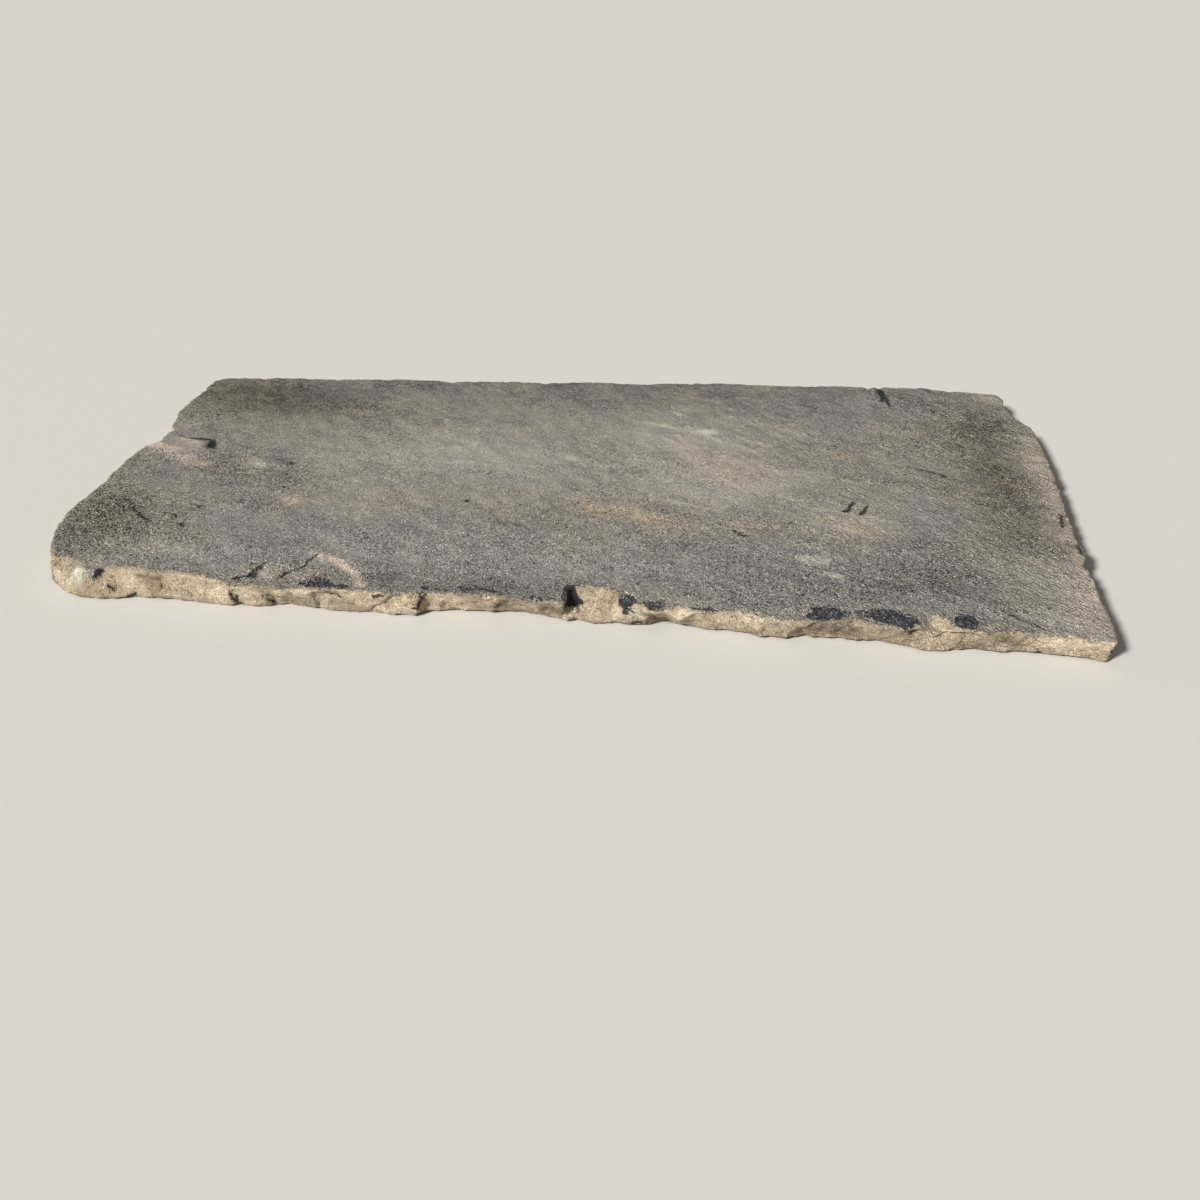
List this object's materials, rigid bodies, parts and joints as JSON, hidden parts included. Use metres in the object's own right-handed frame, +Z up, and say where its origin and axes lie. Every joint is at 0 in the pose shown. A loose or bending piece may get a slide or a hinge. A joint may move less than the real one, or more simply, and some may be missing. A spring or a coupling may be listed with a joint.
{
  "type": "bluestone paver",
  "caption": "Rectangular slab of split sandstone for paving, with a riven walking face, hand-broken edges and a flat bed.",
  "frame": {"origin": "centre of the slab's bounding box at the height of its bed, which lies flat", "axes": "+X along the long edge, +Y from the front edge with the fresh rock face to the back edge, +Z up out of the walking face"},
  "size_m": [1.22, 0.7222, 0.0381],
  "materials": {
    "stone": "riven, weathered and matt on the face, with a fresh rough buff break round the edges"
  },
  "bodies": {
    "root": {"paver": "stone"}
  },
  "joints": []
}
